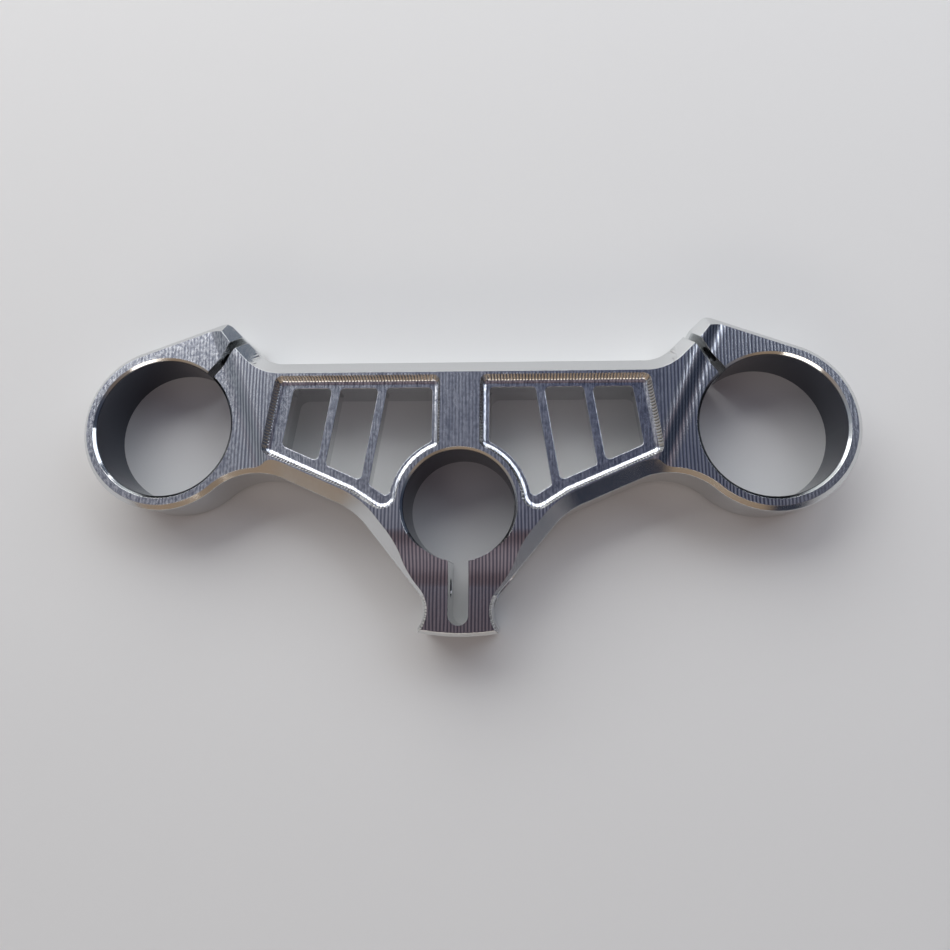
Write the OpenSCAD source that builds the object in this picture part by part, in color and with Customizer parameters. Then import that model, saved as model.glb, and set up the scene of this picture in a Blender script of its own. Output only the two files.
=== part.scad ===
// Upper triple clamp of a motorcycle fork, milled from one aluminium plate.
// Origin on the stem axis at the bottom face. X across, Y towards the front wheel side, Z up. Millimetres.

/* [Fork clamps] */
// Bore for each fork tube
fork_bore_d = 50; // [40:0.5:58]
// Distance between the two fork bores
fork_spacing = 216; // [200:1:230]
// Fork bores ahead of the stem axis
fork_offset = 28.4; // [25:0.2:32]
// Wall of the clamp ring
ring_wall = 5; // [3.5:0.25:8]
// Drop of the top face from the beam to the rings
ring_drop = 3.1; // [1:0.1:4]
// Width of the slot through each ear
fork_slot_w = 3; // [2:0.25:5]
// Direction of the slot, seen from the bore
fork_slot_angle = 130.5; // [125:0.5:136]

/* [Pinch bolts] */
// Clearance hole of a pinch bolt
bolt_clear_d = 8.4; // [6.4:0.1:9]
// Tapping hole of a pinch bolt
bolt_tap_d = 6.8; // [5:0.1:7.4]
// Counterbore for the bolt head
head_d = 13.5; // [11:0.25:15]
// Wall between the bolt hole and the fork bore
bolt_to_bore = 4.3; // [3:0.1:6]
// Height of the pinch bolts in the ears
ear_bolt_z = 11.5; // [9:0.25:12.5]
// Metal under the head of an ear bolt
ear_grip = 8; // [6:0.5:10]
// Depth of the thread behind the ear slot
ear_thread = 15; // [10:0.5:18]

/* [Stem boss] */
// Bore for the steering stem
stem_bore_d = 38.6; // [34:0.2:40]
// Width of the stem slot
stem_slot_w = 7; // [5:0.25:8]
// Metal behind the closed end of the stem slot
slot_end_wall = 3.7; // [3:0.1:6]
// Drop of the top face from the beam to the foot
foot_drop = 3.6; // [1:0.1:4.2]
// Distance from the stem axis to the end of the foot
foot_end = 44.5; // [42:0.5:50]
// Half width of the foot at its tips
foot_half = 13.8; // [12.5:0.1:16]
// Half width of the waist above the foot
waist_half = 11.8; // [11:0.1:13]
// Radius of the waist
waist_r = 10.3; // [8:0.1:14]
// Radius of the foot's end face
end_r = 79; // [60:1:120]
// Stem pinch bolt behind the stem axis
stem_bolt_back = 28; // [26:0.25:31]
// Height of the stem pinch bolt
stem_bolt_z = 10.5; // [8:0.25:12]
// Metal under the head of the stem bolt
stem_grip = 6; // [4:0.25:7]

/* [Body] */
// Height of the beam between the rings
body_h = 24.8; // [24:0.1:27]
// Wide chamfer round the top of the beam
chamfer = 4.8; // [4.4:0.1:5.4]
// Chamfer round the bottom edge
bottom_chamfer = 1; // [0.4:0.1:2]
// Chamfer on the bore edges
bore_chamfer = 1; // [0.4:0.1:2]
// Front face of the beam ahead of the fork bores
front_reach = 23.6; // [22:0.2:28]
// Corner before the ear, measured in from the fork bore
ear_setback = 37.7; // [36:0.1:40]
// Angle of the ear's inner side
ear_angle = 45; // [40:1:50]
// Point on the ring where the ear's outer side leaves it
ear_tangent = 70; // [64:1:74]
// Radius at the tip of the ear
ear_tip_r = 5; // [3:0.25:8]
// Radius in the corner before the ear
ear_root_r = 13.5; // [8:0.5:18]
// Bend of the rear edge beside the boss, across
bend_x = 36.9; // [34:0.1:40]
// Bend of the rear edge beside the boss, behind the stem axis
bend_back = 1.7; // [0:0.1:4]
// Radius of that bend
bend_r = 28; // [12:1:34]
// Angle of the rear edge of the beam
rear_angle = 23.7; // [20:0.1:26]
// Angle of the side of the boss
boss_angle = 50.6; // [48:0.1:54]
// Radius of the arch between beam and ring
arch_r = 24; // [18:0.5:28]

/* [Blends of the top face] */
// Direction in which the top face falls to the rings
fall_angle = -21.5; // [-28:0.5:0]
// Start of that fall, from the stem axis
fall_start = 54.2; // [50:0.2:58]
// Length of that fall
fall_length = 10; // [6:0.25:16]
// Start of the fall to the foot, behind the stem axis
foot_fall_start = 8; // [4:0.5:14]
// Length of the fall to the foot
foot_fall_length = 20; // [12:0.5:24]

/* [Pockets] */
// Radius of the ball cutter of the pockets
ball_r = 2.8; // [2:0.1:3.4]
// Depth of the pockets
pocket_depth = 4.2; // [3.6:0.1:5]
// Web left under the pocket floor
web_t = 5.4; // [3:0.1:8]
// Rim between the front chamfer and the pocket
front_land = 1.1; // [0.4:0.1:3]
// Rim between the rear chamfer and the pocket
rear_land = 0.5; // [0.4:0.05:1.5]
// Half width of the strut between the pockets
strut_half = 7; // [5:0.25:9]
// Wall between stem bore and pocket
stem_wall = 2.5; // [2:0.1:3.5]
// Outer end of the pocket at the front, across
pocket_end_x = 66.5; // [62:0.1:68]
// Lean of the ribs and of the pocket's outer end
lean = 9.1; // [4:0.1:14]
// Direction of the pocket's edge beside the boss
lobe_angle = 32.7; // [30:0.1:36]
// Distance of that edge from the stem axis
lobe_reach = 16.7; // [15.5:0.1:16.8]
// Radius of the pocket's lobe beside the boss
lobe_r = 5.5; // [4:0.1:7]
// Corner radius of the recess in the underside
recess_r = 4; // [2:0.25:6]

/* [Windows] */
// Corner radius of the windows
window_r = 1.8; // [1:0.1:2.6]
// Ledge between the ball path and the windows, at the front
front_ledge = 0.8; // [0.4:0.1:3]
// Ledge at the strut and the stem wall
side_ledge = 0.4; // [0.2:0.1:2]
// Ledge at the rear
rear_ledge = 2.4; // [1:0.1:4]
// Ledge beside the boss
lobe_ledge = 2.8; // [1:0.1:4]
// Ledge at the outer end
end_ledge = 3.2; // [1:0.1:5]
// Width of the ribs
rib_w = 3.1; // [2:0.1:5]
// Places of the two ribs at the front of the pocket
rib_x = [27.9, 44.8];

/* [Hidden] */
$fn = 96;
over = 1;
cross = 0.05;
fall_cross = 0.02;
// How far the ear's outer side runs on past its touch with the ring
side_run = 3;
ring_h = body_h - ring_drop;
edge_h = body_h - chamfer;
bore_r = fork_bore_d / 2;
stem_r = stem_bore_d / 2;
ring_r = bore_r + ring_wall;
ring_c = [fork_spacing / 2, fork_offset];
front_y = fork_offset + front_reach;

function along(a) = [cos(a), sin(a)];
function angle_of(v) = atan2(v.y, v.x);
// Where the line through p at angle a meets the line through q at angle b
function meet(p, a, q, b) = p + along(a) * cross(q - p, along(b)) / cross(along(a), along(b));
// Distance from a corner to where its round begins, for a turn of that many degrees
function reach(r, turn) = r * tan(turn / 2);

// Corners of the right half of the outline. Each round crosses the faces beside it by the depth cross.
root = [ring_c.x - ear_setback, front_y];
ring_touch = ring_c + (ring_r - cross) * along(ear_tangent);
tip = meet(root, ear_angle, ring_touch, ear_tangent - 90);
bend = [bend_x, -bend_back];
root_reach = reach(ear_root_r, ear_angle);
bend_reach = reach(bend_r, boss_angle - rear_angle);
root_c = root + [-root_reach, ear_root_r - cross];
bend_c = bend + bend_reach * along(rear_angle) + (bend_r - cross) * along(rear_angle - 90);
tip_reach = reach(ear_tip_r - cross, 90 + ear_angle - ear_tangent);
tip_c = tip - tip_reach * along(ear_angle) + (ear_tip_r - cross) * along(ear_angle - 90);

// Arch between the rear edge and the ring
arch_from = bend + (arch_r - cross) * along(rear_angle - 90) - ring_c;
arch_dot = arch_from * along(rear_angle);
arch_gap = ring_r + arch_r - cross;
arch_run = -arch_dot - sqrt(arch_dot * arch_dot - arch_from * arch_from + arch_gap * arch_gap);
arch_c = ring_c + arch_from + arch_run * along(rear_angle);
arch_a = angle_of(ring_c - arch_c);
arch_foot = arch_c + (arch_r - cross) * along(rear_angle + 90);
arch_top = arch_c + (arch_r - cross) * along(arch_a);

// Waist that runs into the side of the boss
waist_line = bend + (waist_r - cross) * along(boss_angle - 90);
waist_c = waist_line - along(boss_angle) * (waist_line.x - waist_half - waist_r) / cos(boss_angle);
waist_touch = waist_c + (waist_r - cross) * along(boss_angle + 90);
foot_side = [foot_half, waist_c.y - sqrt(waist_r * waist_r - pow(waist_c.x - foot_half, 2))];
end_c = [0, end_r - foot_end];
end_turn = asin(foot_half / end_r);
foot_tip = end_c + end_r * along(end_turn - 90);

// Path of the ball cutter round the right pocket: its lines, each by a point and an angle
path_r = stem_r + stem_wall + ball_r;
path_x = strut_half + ball_r;
path_y = front_y - chamfer - front_land - ball_r;
rear_path = bend + (chamfer + rear_land + ball_r) * along(rear_angle + 90);
lobe_n = lobe_angle - 90;
lobe_d = lobe_reach - lobe_r;
lobe_c = lobe_d * along(lobe_n) + sqrt(pow(stem_r + stem_wall + lobe_r, 2) - lobe_d * lobe_d) * along(lobe_angle);
lobe_path_r = lobe_r - ball_r;
lobe_path_d = lobe_reach - ball_r;
lobe_touch = lobe_c + lobe_path_r * along(lobe_n);
end_path = [pocket_end_x - ball_r / cos(lean), path_y];
end_low = meet(end_path, 90 + lean, rear_path, rear_angle);
bow = meet(rear_path, rear_angle, lobe_touch, lobe_angle);
strut_low = [path_x, sqrt(path_r * path_r - path_x * path_x)];
strut_top = [path_x, path_y];
floor_z = body_h - pocket_depth;
web_z = floor_z - web_t;

// Slots and bolts
ear_bolt_r = bore_r + bolt_to_bore + bolt_clear_d / 2;
slot_end_y = slot_end_wall - foot_end + stem_slot_w / 2;

// What a 45 degree chamfer takes up to height h along the edge from p to q, metal on its left
module edge_cut(p, q, h) {
    translate(p) rotate(angle_of(q - p)) rotate([90, 0, 90])
        linear_extrude(norm(q - p)) polygon([[-over, -over], [h, h], [-over, h]]);
}

// The same round an arc that bulges out of the metal
module round_cut(c, r, from, to, h) {
    translate(c) rotate(from) rotate_extrude(angle = to - from)
        polygon(r > h ? [[r + over, -over], [r - h, h], [r + over, h]]
                      : [[r + over, -over], [0, r], [0, h], [r + over, h]]);
}

// The same round a hollow in the metal
module hollow_cut(c, r, h) {
    translate([c.x, c.y, -over]) cylinder(h = h + over, r1 = r - over, r2 = r + h);
}

// Chamfer up to height h round the right half of the outline, from the foot to the front.
// Beside a bulge the straight cuts run on past it, beside a hollow they end inside it.
module rim_cut(h) {
    round_cut(end_c, end_r, -90 - over, end_turn - 90 + over, h);
    edge_cut(foot_tip - [0, over], foot_side + [0, over], h);
    hollow_cut(waist_c, waist_r, h);
    edge_cut(waist_touch, bend - bend_reach * along(boss_angle), h);
    hollow_cut(bend_c, bend_r, h);
    edge_cut(bend + bend_reach * along(rear_angle), arch_foot, h);
    hollow_cut(arch_c, arch_r, h);
    round_cut(ring_c, ring_r, arch_a - 180, ear_tangent, h);
    edge_cut(ring_touch + side_run * along(ear_tangent - 90), tip + h * along(ear_tangent + 90), h);
    round_cut(tip_c, ear_tip_r, ear_tangent, ear_angle + 90, h);
    edge_cut(tip + h * along(ear_angle), root + root_reach * along(ear_angle), h);
    hollow_cut(root_c, ear_root_r, h);
    edge_cut([root_c.x, front_y], [-over, front_y], h);
}

// Sliver between a corner and the round of radius r about c that replaces it, between p and s.
// It reaches past the corner q, so that it crosses what it is cut from.
module corner(p, q, s, c, r) {
    difference() {
        polygon([p, q + (q - c) / norm(q - c) * over, s]);
        translate(c) circle(r);
    }
}

// What the round of radius r takes from corner q between p and s
module round_off(p, q, s, r) {
    a = (p - q) / norm(p - q);
    b = (s - q) / norm(s - q);
    half = acos(a * b) / 2;
    in = r - cross;
    corner(q + a * in / tan(half), q, q + b * in / tan(half), q + (a + b) / norm(a + b) * in / sin(half), r);
}

// Outline whose listed corners are rounded
module rounded(points, corners, r) {
    n = len(points);
    difference() {
        polygon(points);
        for (i = corners) round_off(points[(i + n - 1) % n], points[i], points[(i + 1) % n], r);
    }
}

module half_outline() {
    difference() {
        union() {
            polygon([
                [-over, -foot_end - over], [foot_half, -foot_end - over], [foot_half, waist_c.y], waist_touch,
                bend - bend_reach * along(boss_angle), bend + bend_reach * along(rear_angle),
                arch_foot, arch_top, ring_c, ring_touch, tip,
                root + root_reach * along(ear_angle), [root_c.x, front_y], [-over, front_y],
            ]);
            translate(ring_c) circle(ring_r);
        }
        translate(waist_c) circle(waist_r);
        translate(bend_c) circle(bend_r);
        translate(arch_c) circle(arch_r);
        translate(root_c) circle(ear_root_r);
        translate(ring_touch) rotate(ear_tangent - 90) translate([-over, 0]) square([side_run + over, over]);
        round_off(ring_touch, tip, root, ear_tip_r);
        difference() {
            translate([-over * 2, -foot_end - over * 2]) square([foot_half + over * 3, end_r / 4]);
            translate(end_c) circle(end_r);
        }
    }
}

// What lies above a top face that falls by drop over a length, from height high, in two arcs. They cross
// each other and both flats.
module above_fall(start, length, high, drop, far) {
    r = (drop * drop + length * length) / (4 * drop);
    difference() {
        translate([start, high - drop]) square([length / 2, drop + over]);
        translate([start, high - r + fall_cross]) circle(r);
    }
    intersection() {
        translate([start + length, high - drop + r - fall_cross]) circle(r);
        translate([start + length / 4, high - drop]) square([length, drop + over]);
    }
    translate([start + length, high - drop]) square([far - start - length, drop + over]);
}

// Fall of the top face from the beam to the right ring
module ring_fall() {
    rotate(fall_angle) rotate([90, 0, 0])
        linear_extrude(fork_spacing * 2, center = true)
            above_fall(fall_start, fall_length, body_h, ring_drop, fork_spacing);
}

// Fall of the top face from the beam to the foot
module foot_fall() {
    rotate(-90) rotate([90, 0, 0])
        linear_extrude(bend_x * 3, center = true)
            above_fall(foot_fall_start, foot_fall_length, body_h, foot_drop, foot_end + over);
}

// Corner of a line beside the boss, at that distance from the stem axis, with a circle about it
function lobe_corner(d, r) = d * along(lobe_n) + sqrt(r * r - d * d) * along(lobe_angle);
// Corner of a line beside the strut with a circle about the stem axis
function strut_corner(x, r) = [x, sqrt(r * r - x * x)];

// Outline that ends at a wall about the stem axis: its corners from the strut round to the boss, the last
// one by the distance low of its line. The listed corners are rounded, and both at the wall.
module round_stem(points, corners, low, wall, r) {
    in = r - cross;
    left = points[0].x;
    strut = strut_corner(left + in, wall + in);
    lobe = lobe_corner(low - in, wall + in);
    difference() {
        rounded(concat([[0, 0], strut_corner(left, wall)], points, [lobe_corner(low, wall)]),
            [for (i = corners) i + 2], r);
        circle(wall);
        corner([left, strut.y], strut_corner(left, wall), strut * wall / (wall + in), strut, r);
        corner(lobe + in * along(lobe_n), lobe_corner(low, wall), lobe * wall / (wall + in), lobe, r);
    }
}

// Section that the ball cutter leaves outside a path at that radius, from the floor up, with some inside it
module ball_section(r, inside) {
    intersection() {
        translate([r, ball_r - cross]) circle(ball_r);
        translate([r, 0]) square(ball_r);
    }
    translate([r, ball_r - cross]) square([ball_r, body_h]);
    translate([r - inside, 0]) square([inside, body_h + ball_r - cross]);
}

// Wall of the pocket along a straight run of the path, on the left
module wall_run(p, q) {
    translate(p) rotate(angle_of(q - p)) rotate([90, 0, 90]) linear_extrude(norm(q - p)) ball_section(0, over);
}

// Round end of the pocket, with the path at radius r about c
module wall_turn(c, r) {
    translate(c) rotate_extrude() intersection() {
        ball_section(r + cross, r + cross);
        square([r + ball_r + cross, body_h + ball_r]);
    }
}

// Wall of the pocket round the stem
module stem_turn() {
    rotate(angle_of(lobe_c)) rotate_extrude(angle = angle_of(strut_low) - angle_of(lobe_c))
        mirror([1, 0]) ball_section(-path_r, over);
}

// Right pocket: a flat floor with the wall that a ball cutter leaves
module pocket() {
    translate([0, 0, floor_z]) {
        linear_extrude(body_h + ball_r - cross) difference() {
            polygon([[0, 0], strut_low, strut_top, end_path, end_low, bow, lobe_touch, lobe_c]);
            circle(path_r);
        }
        wall_run(strut_low, strut_top);
        wall_run(strut_top, end_path);
        wall_run(end_path, end_low);
        wall_run(end_low, bow - over * along(rear_angle));
        wall_run(bow + over * along(lobe_angle), lobe_touch);
        for (p = [strut_low, strut_top, end_path, end_low]) wall_turn(p, 0);
        wall_turn(lobe_c, lobe_path_r);
        stem_turn();
    }
}

// Corners of the three windows of the right pocket
window_top = [0, path_y - front_ledge];
window_low = rear_path + rear_ledge * along(rear_angle + 90);
window_end = end_path - [end_ledge / cos(lean), 0];
inner_low = (lobe_path_d - lobe_ledge) * along(lobe_n);
function rib_side(i, side) = [rib_x[i] + side * rib_w / 2 / cos(lean), path_y];
function on_top(p) = meet(p, 90 + lean, window_top, 0);
function on_low(p) = meet(p, 90 + lean, window_low, rear_angle);
inner_window = [
    [path_x + side_ledge, window_top.y], on_top(rib_side(0, -1)),
    meet(rib_side(0, -1), 90 + lean, inner_low, lobe_angle),
];
function window(from, to) = [on_low(from), on_top(from), on_top(to), on_low(to)];

module windows() {
    translate([0, 0, web_z - over]) linear_extrude(web_t + over * 2) {
        round_stem(inner_window, [0, 1, 2], lobe_path_d - lobe_ledge, path_r + side_ledge, window_r);
        rounded(window(rib_side(0, 1), rib_side(1, -1)), [0 : 3], window_r);
        rounded(window(rib_side(1, 1), window_end), [0 : 3], window_r);
    }
}

// Recess in the underside, below the ball path of the pocket
module recess() {
    translate([0, 0, -over]) linear_extrude(web_z + over)
        round_stem([strut_top, end_path, end_low, bow], [0, 1, 2], lobe_path_d, path_r, recess_r);
}

// Bore of height h with both edges chamfered
module chamfered_bore(r, h) {
    translate([0, 0, -over]) cylinder(h = h + over * 2, r = r);
    translate([0, 0, -over]) cylinder(h = over + bore_chamfer, r1 = r + bore_chamfer + over, r2 = r);
    translate([0, 0, h - bore_chamfer]) cylinder(h = bore_chamfer + over, r1 = r, r2 = r + bore_chamfer + over);
}

// Slot through the right ear, with its pinch bolt
module ear_slot() {
    translate([ring_c.x, ring_c.y, -over]) rotate(fork_slot_angle)
        translate([0, -fork_slot_w / 2]) cube([ear_setback * 1.6, fork_slot_w, body_h + over * 2]);
    translate([ring_c.x, ring_c.y, ear_bolt_z]) rotate(fork_slot_angle) translate([ear_bolt_r, 0, 0]) {
        rotate([90, 0, 0]) cylinder(h = fork_slot_w / 2 + ear_grip + over, d = bolt_clear_d);
        translate([0, -fork_slot_w / 2 - ear_grip, 0]) rotate([90, 0, 0]) cylinder(h = ring_r, d = head_d);
        rotate([-90, 0, 0]) cylinder(h = fork_slot_w / 2 + ear_thread, d = bolt_tap_d);
    }
}

// Slot of the stem clamp with its round closed end, and its pinch bolt
module stem_slot() {
    translate([0, slot_end_y, -over]) cylinder(h = body_h + over * 2, d = stem_slot_w);
    translate([-stem_slot_w / 2, slot_end_y, -over]) cube([stem_slot_w, -slot_end_y, body_h + over * 2]);
    translate([0, -stem_bolt_back, stem_bolt_z]) rotate([0, 90, 0]) {
        cylinder(h = stem_slot_w / 2 + stem_grip + over, d = bolt_clear_d);
        translate([0, 0, stem_slot_w / 2 + stem_grip]) cylinder(h = bend_x, d = head_d);
        translate([0, 0, -bend_x]) cylinder(h = bend_x, d = bolt_tap_d);
    }
}

module triple_clamp() {
    color("silver") difference() {
        linear_extrude(body_h) for (side = [0, 1]) mirror([side, 0]) half_outline();
        for (side = [0, 1]) mirror([side, 0, 0]) {
            translate([0, 0, edge_h]) rim_cut(chamfer + over);
            translate([0, 0, bottom_chamfer]) mirror([0, 0, 1]) rim_cut(bottom_chamfer + over);
            ring_fall();
            pocket();
            windows();
            recess();
            translate(ring_c) chamfered_bore(bore_r, ring_h);
            ear_slot();
        }
        foot_fall();
        chamfered_bore(stem_r, body_h);
        stem_slot();
    }
}

triple_clamp();
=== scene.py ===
"""Dresses the milled triple clamp: bare aluminium with its cutter marks, a plain floor, light and camera."""

import logging
import math
from collections.abc import Callable
from dataclasses import dataclass
from enum import Enum
from functools import partial
from typing import Any

import bpy
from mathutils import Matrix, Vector


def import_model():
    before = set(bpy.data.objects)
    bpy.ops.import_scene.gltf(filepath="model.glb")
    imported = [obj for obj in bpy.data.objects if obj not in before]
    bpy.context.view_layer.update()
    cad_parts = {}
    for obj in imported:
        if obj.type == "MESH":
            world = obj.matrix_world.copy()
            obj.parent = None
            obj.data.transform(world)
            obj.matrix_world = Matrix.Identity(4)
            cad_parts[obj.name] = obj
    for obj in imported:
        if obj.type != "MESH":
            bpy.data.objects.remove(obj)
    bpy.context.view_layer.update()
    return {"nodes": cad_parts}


log = logging.getLogger("clamp")

MM = 1000.0
# The property that says what a node of each of these kinds does
MAIN_SETTING = {
    "Math": "operation",
    "VectorMath": "operation",
    "MapRange": "interpolation_type",
    "Mix": "data_type",
}

Socket = bpy.types.NodeSocket
Adder = Callable[..., Any]
Pair = tuple[float, float]
Triple = tuple[float, float, float]
Stops = tuple[tuple[float, str], ...]


class Surface(Enum):
    """The cut faces of the clamp that carry marks of their own."""

    FACED = "faced"
    POCKET = "pocket"
    BORE = "bore"
    OUTSIDE = "outside"


def linear(hex_colour: str) -> tuple[float, float, float, float]:
    """Turns an sRGB hex colour into linear values.

    Args:
        hex_colour: Six hex digits after a number sign.

    Returns:
        Red, green and blue, linear, and full opacity.
    """
    values = [int(hex_colour[i : i + 2], 16) / 255 for i in (1, 3, 5)]
    flat = [v / 12.92 if v <= 0.04045 else ((v + 0.055) / 1.055) ** 2.4 for v in values]
    return (flat[0], flat[1], flat[2], 1.0)


def add_node(tree: bpy.types.NodeTree, kind: str, *inputs: Any, out: int | str = 0, **settings: Any) -> Any:
    """Adds one node to a tree, sets it and links it.

    Args:
        tree: The node tree.
        kind: Type of the node, then a space and its main setting where it has one.
        inputs: Values or output sockets in order, or one dict of them by name or number of the input.
        out: Number or name of the output that is wanted.
        settings: Other properties of the node.

    Returns:
        The output socket, or None where the node has no outputs.
    """
    kind, _, choice = kind.partition(" ")
    node = tree.nodes.new("ShaderNode" + kind)
    if choice:
        setattr(node, MAIN_SETTING[kind], choice)
    for name, value in settings.items():
        setattr(node, name, value)
    given = inputs[0] if inputs and isinstance(inputs[0], dict) else dict(enumerate(inputs))
    for key, value in given.items():
        if isinstance(value, Socket):
            tree.links.new(value, node.inputs[key])
        else:
            node.inputs[key].default_value = value
    return node.outputs[out] if node.outputs else None


@dataclass(frozen=True)
class Spot:
    """The point that is shaded, as sockets: its place in mm and the way that its face looks."""

    place: Socket
    x: Socket
    y: Socket
    z: Socket
    # Distance from the middle of the clamp, the same on both sides
    across: Socket
    face_x: Socket
    face_y: Socket
    face_z: Socket
    # Length of the level part of the face's normal
    level: Socket

    @classmethod
    def read(cls, add: Adder) -> "Spot":
        """Reads the point from the geometry.

        Args:
            add: Adds a node to the material's tree.

        Returns:
            The point.
        """
        place = add("VectorMath MULTIPLY", add("TexCoord", out="Object"), (MM, MM, MM))
        x, y, z = add("SeparateXYZ", place).node.outputs
        face_x, face_y, face_z = add("SeparateXYZ", add("NewGeometry", out="True Normal")).node.outputs
        # A little over 1, so that the length never comes to 0 on a level face
        square = add("Math SUBTRACT", 1.0001, add("Math MULTIPLY", face_z, face_z))
        level = add("Math SQRT", square)
        return cls(place, x, y, z, add("Math ABSOLUTE", x), face_x, face_y, face_z, level)

    @staticmethod
    def distance(add: Adder, x: Socket, y: Socket) -> Socket:
        """Works out how far two steps at right angles lead.

        Args:
            add: Adds a node to the material's tree.
            x: Step across.
            y: Step along.

        Returns:
            The distance.
        """
        return add("Math SQRT", add("Math MULTIPLY_ADD", x, x, add("Math MULTIPLY", y, y)))


@dataclass(frozen=True)
class Grain:
    """Uneven marks in the metal, drawn as noise."""

    # Size of one mark along X, Y and Z, in mm
    size: Triple
    # Number of finer layers, and how strong each is
    layers: float = 1.0
    strength: float = 0.5

    def read(self, add: Adder, spot: Spot) -> Socket:
        """Reads the marks at a point.

        Args:
            add: Adds a node to the material's tree.
            spot: The point.

        Returns:
            A number from 0 to 1.
        """
        cell = add("VectorMath DIVIDE", spot.place, self.size)
        return add("TexNoise", {
            "Vector": cell, "Scale": 1.0, "Detail": self.layers, "Roughness": self.strength})


@dataclass(frozen=True)
class CutterMarks:
    """Marks of the cutters, with sizes in mm. They are drawn deeper than real ones, so that they show."""

    # Step of the facing cutter and length of one of its streaks
    step: float = 1.2
    streak: float = 42.0
    # Step of the ball cutter along the pocket walls
    scallop: float = 1.1
    # Depth of the facing lines, of specks between them, of scallops, and of the grain on outer walls
    line_depth: float = 0.034
    speck_depth: float = 0.009
    scallop_depth: float = 0.14
    grain_depth: float = 0.005
    # What the facing marks are made up of
    line_share: float = 0.42
    coarse_share: float = 0.26
    break_share: float = 0.2
    fine_share: float = 0.12
    # Softness of a line's edge, and how far the waver turns it, in radians
    line_edge: float = 0.7
    swing: float = 9.0
    # Strength of the lines on flat faces, what slopes and boss have more, and what the web has less
    faint: float = 0.3
    crisp: float = 0.6
    web_loss: float = 0.6
    # Share of specks on the left ring, where the lines are hard to see
    left_specks: float = 0.7
    # Slow waver of the lines, and grain of the outer walls, which runs along the edges
    waver: Grain = Grain((11.11, 33.33, 33.33))
    wall_grain: Grain = Grain((0.9091, 0.9091, 0.1667), layers=2.0)
    # Length after which a line may break off, and size of one speck
    unbroken: float = 4.545
    speck: Pair = (0.75, 1.3333)

    @property
    def coarse(self) -> Grain:
        """Streaks as wide as one step."""
        return Grain((self.step, self.streak, self.streak))

    @property
    def fine(self) -> Grain:
        """Streaks a third as wide and a quarter as long."""
        return Grain((self.step / 3, self.streak / 4, self.streak / 4), layers=2.0, strength=0.6)

    @property
    def breaks(self) -> Grain:
        """Patches where the lines break off."""
        return Grain((self.step, self.unbroken, self.unbroken))

    @property
    def specks(self) -> Grain:
        """Specks between the lines."""
        return Grain((self.speck[0], self.speck[1], self.speck[1]))


@dataclass(frozen=True)
class MilledAluminium:
    """Bare aluminium plate as the mill left it: a bright metal that keeps every pass of the cutter, with
    painted shade in the notches between the scallops and on the bore walls.
    """

    # Fresh cut metal, duller between the marks
    bright: str = "#DFE0E3"
    dull: str = "#8F939F"
    # Chamfers and outer walls, cut by the side of the cutter
    side: str = "#DADCDD"
    # Pocket walls, with painted shade in the notches between the scallops, and bores
    wall: str = "#D9D8D6"
    # Painted shade: the notches between the scallops are coloured dark grey, as shade in the creases
    notch_shade: str = "#55585E"
    # Painted shade: the bores are coloured dark for the shade that falls inside them
    bore: str = "#6A6E76"
    # Faced metal is the softest, and the side of the cutter leaves it the smoothest
    faced_roughness: float = 0.21
    side_roughness: float = 0.13
    wall_roughness: float = 0.16
    bore_roughness: float = 0.2
    roughness_spread: float = 0.08
    # Where the marks turn from dull to bright, and the scallops from wall to the painted notch shade
    bright_from: Pair = (0.3, 0.7)
    notch_shade_from: Pair = (0.5, 0.0)
    notch_shade_share: float = 0.8
    # Radius of the broken edges, and of those of the web, in mm
    edge: float = 0.22
    web_edge: float = 0.45
    edge_samples: int = 6
    marks: CutterMarks = CutterMarks()


@dataclass(frozen=True)
class Fall:
    """A fall of the top face, by an arc that bends down and an equal arc that levels out.

    The angle of its direction is in degrees. Its start, length and drop are in mm.
    """

    angle: float
    start: float
    length: float
    drop: float

    def lean(self, add: Adder, spot: Spot) -> tuple[Socket, Socket]:
        """Works out how far the top face leans, as the two arcs of the CAD solid do.

        Args:
            add: Adds a node to the material's tree.
            spot: The point.

        Returns:
            The lean across and the lean along, each the sine of an angle.
        """
        way_x = math.cos(math.radians(self.angle))
        way_y = math.sin(math.radians(self.angle))
        radius = (self.drop * self.drop + self.length * self.length) / (4 * self.drop)
        run = add("Math MULTIPLY_ADD", spot.across, way_x, add("Math MULTIPLY", spot.y, way_y))
        down = add("Math SUBTRACT", run, self.start)
        lean = add("Math MINIMUM", down, add("Math SUBTRACT", self.length, down))
        lean = add("Math DIVIDE", add("Math MAXIMUM", lean, 0.0), radius)
        return add("Math MULTIPLY", lean, way_x), add("Math MULTIPLY", lean, way_y)


@dataclass(frozen=True)
class Marks:
    """The marks at one point, as sockets from 0 to 1."""

    lines: Socket
    fine: Socket
    specks: Socket
    scallops: Socket
    grain: Socket


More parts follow.
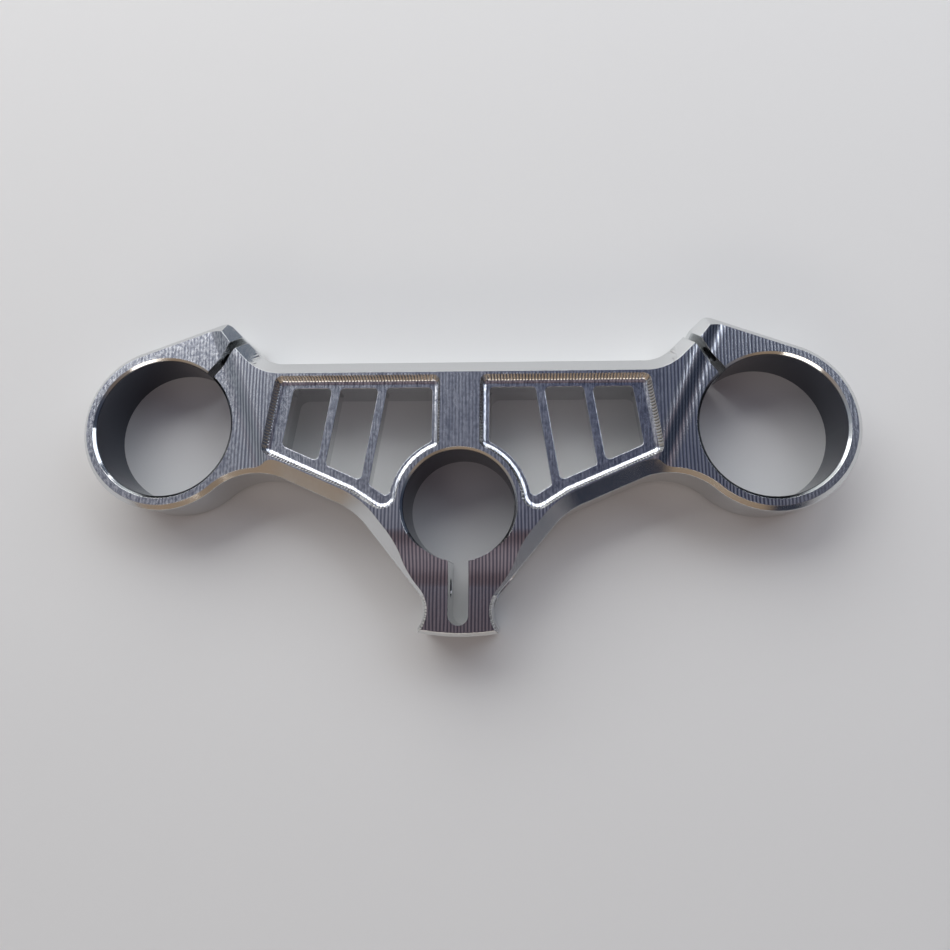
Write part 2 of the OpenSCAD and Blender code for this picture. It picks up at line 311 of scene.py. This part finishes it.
@dataclass
class ClampPlate:
    """The one solid of the clamp, with the places that its finish is laid out by, in mm.

    After the first places, a pair says where something begins and where it is complete. Each is the
    same on both sides, except the left ring's.
    """

    node: str = "triple_clamp"
    # Middle of the fork bore, radii of both bores, a point in the pocket and the height of its floor
    fork: Pair = (108.0, 28.4)
    fork_bore: float = 25.0
    stem_bore: float = 19.3
    pocket: Pair = (40.0, 27.0)
    floor_height: float = 20.6
    ring_fall: Fall = Fall(-21.5, 54.2, 10.0, 3.1)
    foot_fall: Fall = Fall(-90.0, 8.0, 20.0, 3.6)
    # Upright part of the normal on faced metal, and the same once the edges are rounded
    upright: Pair = (0.74, 0.81)
    upright_rounded: Pair = (0.8, 0.84)
    # Outwards from the wall of a bore, where its look ends
    bore_wall: Pair = (0.3, 0.1)
    # How far a wall looks away from the point in the pocket, and where the pocket's outer end is
    pocket_wall: Pair = (0.5, -0.5)
    pocket_end: Pair = (76.0, 74.0)
    # Heights over the pocket's floor: foot of its walls, edges of the web, face of the web, top face
    wall_foot: Pair = (-0.4, -0.1)
    web_rim: Pair = (0.4, 0.1)
    web_face: Pair = (0.4, 0.2)
    top_face: Pair = (0.3, 0.5)
    # Distances from the middle: end of the web, slope to the ring, and the ring, where lines fade out
    web_end: Pair = (70.0, 68.0)
    slope: Pair = (68.0, 72.0)
    ring: Pair = (128.0, 100.0)
    # The boss with the foot, along and across
    boss_along: Pair = (6.0, -8.0)
    boss_across: Pair = (70.0, 50.0)
    left_ring: Pair = (-76.0, -84.0)
    # Share of the even lean in the normal of the pocket walls, whose edges stay round
    wall_lean: float = 0.85
    finish: MilledAluminium = MilledAluminium()

    def dress(self, plate: bpy.types.Object) -> None:
        """Gives the CAD solid its finish.

        Args:
            plate: The object of the CAD node.
        """
        material = self.material()
        for holder in plate.material_slots:
            holder.material = material
        log.info("%s: %s", plate.name, material.name)

    def over_floor(self, add: Adder, spot: Spot, heights: Pair) -> Socket:
        """Tells how far a point is through a band of heights over the pocket's floor.

        Args:
            add: Adds a node to the material's tree.
            spot: The point.
            heights: Heights over the floor that give 0 and 1.

        Returns:
            A share from 0 to 1.
        """
        first, last = (self.floor_height + height for height in heights)
        return add("MapRange SMOOTHSTEP", spot.z, first, last)

    def in_bore(self, add: Adder, distance: Socket, radius: float) -> Socket:
        """Tells whether a point is at the wall of a bore.

        Args:
            add: Adds a node to the material's tree.
            distance: Distance from the bore's axis.
            radius: Radius of the bore.

        Returns:
            A share from 0 to 1.
        """
        outer, inner = (radius + gap for gap in self.bore_wall)
        return add("MapRange SMOOTHSTEP", distance, outer, inner)

    def masks(self, add: Adder, spot: Spot) -> dict[Surface, Socket]:
        """Finds out which kind of cut face a point lies on.

        Args:
            add: Adds a node to the material's tree.
            spot: The point.

        Returns:
            A share from 0 to 1 for each surface.
        """
        fork_x = add("Math SUBTRACT", spot.across, self.fork[0])
        fork_y = add("Math SUBTRACT", spot.y, self.fork[1])
        in_fork = self.in_bore(add, spot.distance(add, fork_x, fork_y), self.fork_bore)
        in_stem = self.in_bore(add, spot.distance(add, spot.x, spot.y), self.stem_bore)
        faced = add("MapRange SMOOTHSTEP", spot.face_z, *self.upright)
        side = add("Math SUBTRACT", 1.0, faced)
        bore = add("Math MULTIPLY", side, add("Math MAXIMUM", in_fork, in_stem))

        # A wall of the pocket looks towards the point in the pocket, and the outer walls away from it
        outward = add("Math MULTIPLY", spot.face_x, add("Math SIGN", spot.x))
        from_x = add("Math SUBTRACT", spot.across, self.pocket[0])
        from_y = add("Math SUBTRACT", spot.y, self.pocket[1])
        away = add("Math MULTIPLY_ADD", from_x, outward, add("Math MULTIPLY", from_y, spot.face_y))
        pocket = add("Math MULTIPLY", side, add("Math SUBTRACT", 1.0, bore))
        for share in (
            add("MapRange SMOOTHSTEP", away, *self.pocket_wall),
            add("MapRange SMOOTHSTEP", spot.across, *self.pocket_end),
            self.over_floor(add, spot, self.wall_foot),
        ):
            pocket = add("Math MULTIPLY", pocket, share)
        outside = add("Math SUBTRACT", add("Math SUBTRACT", side, pocket), bore, use_clamp=True)
        return {Surface.FACED: faced, Surface.POCKET: pocket, Surface.BORE: bore, Surface.OUTSIDE: outside}

    def crispness(self, add: Adder, spot: Spot) -> Socket:
        """Makes the lines crisp on the slopes to the rings and on the boss, and faint on the web.

        Args:
            add: Adds a node to the material's tree.
            spot: The point.

        Returns:
            The strength of the lines, from 0 to 1.
        """
        marks = self.finish.marks
        slope = add("MapRange SMOOTHSTEP", spot.across, *self.slope)
        slope = add("Math MULTIPLY", slope, add("MapRange SMOOTHSTEP", spot.across, *self.ring))
        boss = add("MapRange SMOOTHSTEP", spot.y, *self.boss_along)
        boss = add("Math MULTIPLY", boss, add("MapRange SMOOTHSTEP", spot.across, *self.boss_across))
        web = self.over_floor(add, spot, self.web_face)
        web = add("Math MULTIPLY", web, add("MapRange SMOOTHSTEP", spot.across, *self.web_end))
        crisp = add("Math MULTIPLY_ADD", add("Math MAXIMUM", slope, boss), marks.crisp, marks.faint)
        return add("Math MULTIPLY", crisp, add("Math MULTIPLY_ADD", web, -marks.web_loss, 1.0))

    def facing_lines(self, add: Adder, spot: Spot, fine: Socket, specks: Socket) -> Socket:
        """Draws the lines of the facing cutter. They run along Y, waver a little and break off at places.

        Args:
            add: Adds a node to the material's tree.
            spot: The point.
            fine: Fine streaks.
            specks: Specks between the lines.

        Returns:
            The lines, from 0 to 1.
        """
        marks = self.finish.marks
        swing = add("Math MULTIPLY", marks.waver.read(add, spot), marks.swing)
        turn = add("Math MULTIPLY_ADD", spot.x, math.tau / marks.step, swing)
        lines = add("MapRange SMOOTHSTEP", add("Math SINE", turn), -marks.line_edge, marks.line_edge)
        total = add("Math MULTIPLY", fine, marks.fine_share)
        total = add("Math MULTIPLY_ADD", marks.breaks.read(add, spot), marks.break_share, total)
        total = add("Math MULTIPLY_ADD", marks.coarse.read(add, spot), marks.coarse_share, total)
        total = add("Math MULTIPLY_ADD", lines, marks.line_share, total)
        left = add("MapRange SMOOTHSTEP", spot.x, *self.left_ring)
        left = add("Math MULTIPLY", left, marks.left_specks)
        total = add("Mix FLOAT", {0: left, 2: total, 3: specks})
        plain = add("Mix FLOAT", {0: 0.5, 2: fine, 3: specks})
        return add("Mix FLOAT", {0: self.crispness(add, spot), 2: plain, 3: total})

    def scallops(self, add: Adder, spot: Spot) -> Socket:
        """Draws the scallops of the ball cutter, which stand across the pocket walls.

        Args:
            add: Adds a node to the material's tree.
            spot: The point.

        Returns:
            The scallops, 0 in the notches between them.
        """
        along_x = add("Math MULTIPLY", spot.x, spot.face_y)
        along_y = add("Math MULTIPLY", spot.y, spot.face_x)
        along = add("Math DIVIDE", add("Math SUBTRACT", along_y, along_x), spot.level)
        turn = add("Math MULTIPLY", along, math.pi / self.finish.marks.scallop)
        return add("Math ABSOLUTE", add("Math SINE", turn))

    def relief(self, add: Adder, masks: dict[Surface, Socket], marks: Marks) -> Socket:
        """Adds up the heights of the marks.

        Args:
            add: Adds a node to the material's tree.
            masks: Share of each surface.
            marks: The marks at the point.

        Returns:
            The height in metres.
        """
        depths = self.finish.marks
        height = 0.0
        for mark, surface, depth in (
            (marks.lines, Surface.FACED, depths.line_depth),
            (marks.specks, Surface.FACED, depths.speck_depth),
            (marks.scallops, Surface.POCKET, depths.scallop_depth),
            (marks.grain, Surface.OUTSIDE, depths.grain_depth),
        ):
            there = add("Math MULTIPLY", mark, masks[surface])
            height = add("Math MULTIPLY_ADD", there, depth / MM, height)
        return height

    def top_normal(self, add: Adder, spot: Spot) -> Socket:
        """Gives the top face the even lean of its falls, which the mesh takes in steps.

        Args:
            add: Adds a node to the material's tree.
            spot: The point.

        Returns:
            The normal of the top face.
        """
        ring_x, ring_y = self.ring_fall.lean(add, spot)
        foot_x, foot_y = self.foot_fall.lean(add, spot)
        x = add("Math MULTIPLY", add("Math ADD", ring_x, foot_x), add("Math SIGN", spot.x))
        y = add("Math ADD", ring_y, foot_y)
        square = add("Math MULTIPLY_ADD", x, x, add("Math MULTIPLY", y, y))
        return add("CombineXYZ", x, y, add("Math SQRT", add("Math SUBTRACT", 1.0, square)))

    def face_normal(self, add: Adder, spot: Spot, masks: dict[Surface, Socket]) -> Socket:
        """Breaks the edges a little and evens out the faces that the mesh takes in steps.

        Args:
            add: Adds a node to the material's tree.
            spot: The point.
            masks: Share of each surface.

        Returns:
            The normal that the marks are cut into.
        """
        finish = self.finish
        rim = self.over_floor(add, spot, self.web_rim)
        radius = add("Math MULTIPLY_ADD", rim, (finish.web_edge - finish.edge) / MM, finish.edge / MM)
        rounded = add("Bevel", {"Radius": radius}, samples=finish.edge_samples)

        # The walls left by the ball cutter lean back by 45 degrees on average
        lean_x = add("Math DIVIDE", spot.face_x, spot.level)
        lean_y = add("Math DIVIDE", spot.face_y, spot.level)
        share = add("Math MULTIPLY", masks[Surface.POCKET], self.wall_lean)
        normal = add("Mix VECTOR", {0: share, 4: rounded, 5: add("CombineXYZ", lean_x, lean_y, 1.0)}, out=1)

        rounded_z = add("SeparateXYZ", rounded, out=2)
        top = add("Math MULTIPLY", masks[Surface.FACED], self.over_floor(add, spot, self.top_face))
        top = add("Math MULTIPLY", top, add("MapRange SMOOTHSTEP", rounded_z, *self.upright_rounded))
        normal = add("Mix VECTOR", {0: top, 4: normal, 5: self.top_normal(add, spot)}, out=1)
        return add("VectorMath NORMALIZE", normal)

    def colour(self, add: Adder, masks: dict[Surface, Socket], marks: Marks) -> Socket:
        """Colours each surface, with the marks a little duller than fresh metal, and painted shade in the
        notches between the scallops and on the bore walls.

        Args:
            add: Adds a node to the material's tree.
            masks: Share of each surface.
            marks: The marks at the point.

        Returns:
            The colour.
        """
        finish = self.finish
        fresh = add("MapRange SMOOTHSTEP", marks.lines, *finish.bright_from)
        colour = add("Mix RGBA", {0: fresh, 6: linear(finish.dull), 7: linear(finish.bright)}, out=2)
        # Painted shade: darkens the pocket wall towards the notch colour in the notches between the scallops
        notch_shade = add("MapRange SMOOTHSTEP", marks.scallops, *finish.notch_shade_from)
        notch_shade = add("Math MULTIPLY", notch_shade, finish.notch_shade_share)
        wall = add("Mix RGBA", {0: notch_shade, 6: linear(finish.wall), 7: linear(finish.notch_shade)}, out=2)
        for surface, own in (
            (Surface.OUTSIDE, linear(finish.side)),
            (Surface.POCKET, wall),
            # Painted shade inside the bores
            (Surface.BORE, linear(finish.bore)),
        ):
            colour = add("Mix RGBA", {0: masks[surface], 6: colour, 7: own}, out=2)
        return colour

    def roughness(self, add: Adder, masks: dict[Surface, Socket], marks: Marks) -> Socket:
        """Sets how rough each surface is, with a little spread along the fine streaks.

        Args:
            add: Adds a node to the material's tree.
            masks: Share of each surface.
            marks: The marks at the point.

        Returns:
            The roughness.
        """
        finish = self.finish
        rough = finish.faced_roughness
        for surface, own in (
            (Surface.OUTSIDE, finish.side_roughness),
            (Surface.POCKET, finish.wall_roughness),
            (Surface.BORE, finish.bore_roughness),
        ):
            rough = add("Mix FLOAT", {0: masks[surface], 2: rough, 3: own})
        uneven = add("Math SUBTRACT", marks.fine, 0.5)
        return add("Math MULTIPLY_ADD", uneven, finish.roughness_spread, rough)

    def material(self) -> bpy.types.Material:
        """Builds the milled aluminium.

        Returns:
            The material.
        """
        material = bpy.data.materials.new("milled_aluminium")
        material.use_nodes = True
        material.node_tree.nodes.clear()
        add = partial(add_node, material.node_tree)
        spot = Spot.read(add)
        masks = self.masks(add, spot)
        fine = self.finish.marks.fine.read(add, spot)
        specks = self.finish.marks.specks.read(add, spot)
        grain = self.finish.marks.wall_grain.read(add, spot)
        lines = self.facing_lines(add, spot, fine, specks)
        marks = Marks(lines, fine, specks, self.scallops(add, spot), grain)
        normal = add("Bump", {
            "Height": self.relief(add, masks, marks),
            "Normal": self.face_normal(add, spot, masks),
            "Distance": 1.0,
            "Strength": 1.0,
        })
        shader = add("BsdfPrincipled", {
            "Base Color": self.colour(add, masks, marks),
            "Metallic": 1.0,
            "Roughness": self.roughness(add, masks, marks),
            "Normal": normal,
        })
        add("OutputMaterial", shader)
        return material


@dataclass(frozen=True)
class Lamp:
    """One soft lamp that points at the clamp, in metres and watts."""

    name: str
    place: Triple
    size: Pair
    power: float
    colour: str

    def build(self) -> None:
        """Hangs the lamp."""
        data = bpy.data.lights.new(self.name, "AREA")
        data.shape = "RECTANGLE"
        data.size, data.size_y = self.size
        data.energy = self.power
        data.color = linear(self.colour)[:3]
        lamp = bpy.data.objects.new(self.name, data)
        lamp.location = self.place
        lamp.rotation_euler = (-Vector(self.place)).to_track_quat("-Z", "Y").to_euler()
        bpy.context.scene.collection.objects.link(lamp)


@dataclass(frozen=True)
class Floor:
    """Plain pale floor in matt paint, which scatters light evenly and mirrors nothing."""

    colour: str = "#D8D8D6"
    roughness: float = 0.85
    # Distance from the middle to each edge in metres, and gap under the clamp in mm
    reach: float = 3.0
    gap: float = 0.05

    def build(self) -> None:
        """Lays the floor under the clamp."""
        reach = self.reach
        mesh = bpy.data.meshes.new("floor")
        corners = [(-reach, -reach, 0), (reach, -reach, 0), (reach, reach, 0), (-reach, reach, 0)]
        mesh.from_pydata(corners, [], [(0, 1, 2, 3)])
        floor = bpy.data.objects.new("floor", mesh)
        bpy.context.scene.collection.objects.link(floor)
        floor.location.z = -self.gap / MM
        material = bpy.data.materials.new("matt_paint")
        material.use_nodes = True
        shader = material.node_tree.nodes["Principled BSDF"]
        shader.inputs["Base Color"].default_value = linear(self.colour)
        shader.inputs["Roughness"].default_value = self.roughness
        mesh.materials.append(material)


@dataclass(frozen=True)
class Room:
    """The room that the bare metal mirrors, in plain soft tones."""

    # Tones at the horizon, from minus X by minus Y, X and Y round to minus X again
    around: Stops = (
        (0.0, "#8E949C"), (0.1, "#9A8C7E"), (0.2, "#9C8570"), (0.265, "#94806C"), (0.3, "#2B3140"),
        (0.345, "#2B3140"), (0.385, "#77757A"), (0.43, "#555A64"), (0.5, "#333A4A"), (0.64, "#4A5260"),
        (0.71, "#667080"), (0.755, "#D5DADC"), (0.8, "#F0F2F2"), (0.9, "#E4E6E8"), (1.0, "#8E949C"),
    )
    # Tones overhead, from the left to the right
    overhead: Stops = (
        (0.0, "#9A9DA6"), (0.15, "#989CA6"), (0.35, "#868A97"), (0.52, "#74798A"), (0.6, "#4A516A"),
        (0.66, "#39425F"), (0.7, "#474E66"), (0.77, "#606573"), (0.9, "#5C616D"), (1.0, "#343B4C"),
    )
    # Tan above the horizon at the rear, and purple-brown from there to the zenith
    rear: str = "#94806C"
    behind: str = "#85797F"
    behind_zenith: str = "#5E4F53"
    # Where each begins and is complete, by the upright part of a direction
    overhead_height: Pair = (0.3, 0.75)
    rear_height: Pair = (0.14, 0.26)
    behind_height: Pair = (0.55, 0.8)
    zenith_height: Pair = (0.9, 0.985)
    # The same by the part along Y
    rear_along: Pair = (-0.3, -0.6)
    behind_along: Pair = (0.12, 0.0)

    @staticmethod
    def tone(add: Adder, value: Socket, stops: Stops) -> Socket:
        """Turns a number into a tone.

        Args:
            add: Adds a node to the world's tree.
            value: Number from 0 to 1.
            stops: Position and sRGB hex colour of each stop.

        Returns:
            The tone.
        """
        colour = add("ValToRGB", value)
        elements = colour.node.color_ramp.elements
        while len(elements) < len(stops):
            elements.new(0.5)
        for element, (position, tone) in zip(elements, stops):
            element.position = position
            element.color = linear(tone)
        return colour

    @staticmethod
    def patch(add: Adder, y: Socket, z: Socket, along: Pair, height: Pair) -> Socket:
        """Marks off a part of the room behind.

        Args:
            add: Adds a node to the world's tree.
            y: Part of the direction along Y.
            z: Upright part of the direction.
            along: Where the patch begins and is complete along Y.
            height: The same upright.

        Returns:
            A share from 0 to 1.
        """
        share = add("MapRange SMOOTHSTEP", y, *along)
        return add("Math MULTIPLY", share, add("MapRange SMOOTHSTEP", z, *height))

    def build(self) -> None:
        """Paints the room."""
        world = bpy.data.worlds.new("room")
        world.use_nodes = True
        world.node_tree.nodes.clear()
        bpy.context.scene.world = world
        add = partial(add_node, world.node_tree)
        x, y, z = add("SeparateXYZ", add("TexCoord", out="Generated")).node.outputs
        turn = add("Math MULTIPLY_ADD", add("Math ARCTAN2", y, x), 1 / math.tau, 0.5)
        around = self.tone(add, turn, self.around)
        overhead = self.tone(add, add("Math ADD", x, 0.5), self.overhead)
        rear = self.patch(add, y, z, self.rear_along, self.rear_height)
        around = add("Mix RGBA", {0: rear, 6: around, 7: linear(self.rear)}, out=2)
        above = add("MapRange SMOOTHSTEP", z, *self.overhead_height)
        colour = add("Mix RGBA", {0: above, 6: around, 7: overhead}, out=2)
        zenith = add("MapRange SMOOTHSTEP", z, *self.zenith_height)
        purple = add("Mix RGBA", {0: zenith, 6: linear(self.behind), 7: linear(self.behind_zenith)}, out=2)
        behind = self.patch(add, y, z, self.behind_along, self.behind_height)
        colour = add("Mix RGBA", {0: behind, 6: colour, 7: purple}, out=2)
        add("OutputWorld", add("Background", colour, 1.0))


@dataclass(frozen=True)
class Studio:
    """Floor, lamps and room."""

    floor: Floor = Floor()
    room: Room = Room()
    lamps: tuple[Lamp, ...] = (
        Lamp("window", (-0.35, 0.95, 0.75), (1.7, 0.9), 15.0, "#FFFFFF"),
        Lamp("side", (0.85, 0.75, 0.85), (0.9, 0.8), 7.0, "#E6ECF6"),
        Lamp("back", (-0.25, -1.25, 0.66), (1.0, 0.25), 3.0, "#F2EADF"),
    )

    def build(self) -> None:
        """Builds them in order."""
        self.floor.build()
        self.room.build()
        for lamp in self.lamps:
            lamp.build()
        log.info("studio: floor, room and %d lamps", len(self.lamps))


@dataclass(frozen=True)
class Viewpoint:
    """Camera where the photographer's lens was."""

    # Place in metres, and the axis of its turn with a length equal to the angle in radians
    place: Triple = (0.022614, -0.032965, 0.281607)
    turn: Triple = (0.1663, 0.0651, 0.0042)
    # Focal length and width of the sensor, in mm
    lens: float = 28.79
    sensor: float = 36.0
    # Nearest distance that is drawn, in metres
    nearest: float = 0.01

    def build(self) -> None:
        """Makes the camera and gives it to the scene."""
        data = bpy.data.cameras.new("camera")
        data.lens = self.lens
        data.sensor_width = self.sensor
        data.clip_start = self.nearest
        camera = bpy.data.objects.new("camera", data)
        camera.location = self.place
        turn = Vector(self.turn)
        camera.rotation_mode = "AXIS_ANGLE"
        camera.rotation_axis_angle = (turn.length, *turn.normalized())
        bpy.context.scene.collection.objects.link(camera)
        bpy.context.scene.camera = camera
        log.info("camera: %.2f mm lens", self.lens)


def main() -> None:
    """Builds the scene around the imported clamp."""
    logging.basicConfig(level=logging.INFO, format="%(message)s")
    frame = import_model()
    bpy.context.scene.view_settings.view_transform = "Standard"
    plate = ClampPlate()
    plate.dress(frame["nodes"][plate.node])
    Studio().build()
    Viewpoint().build()


if __name__ == "__main__":
    main()
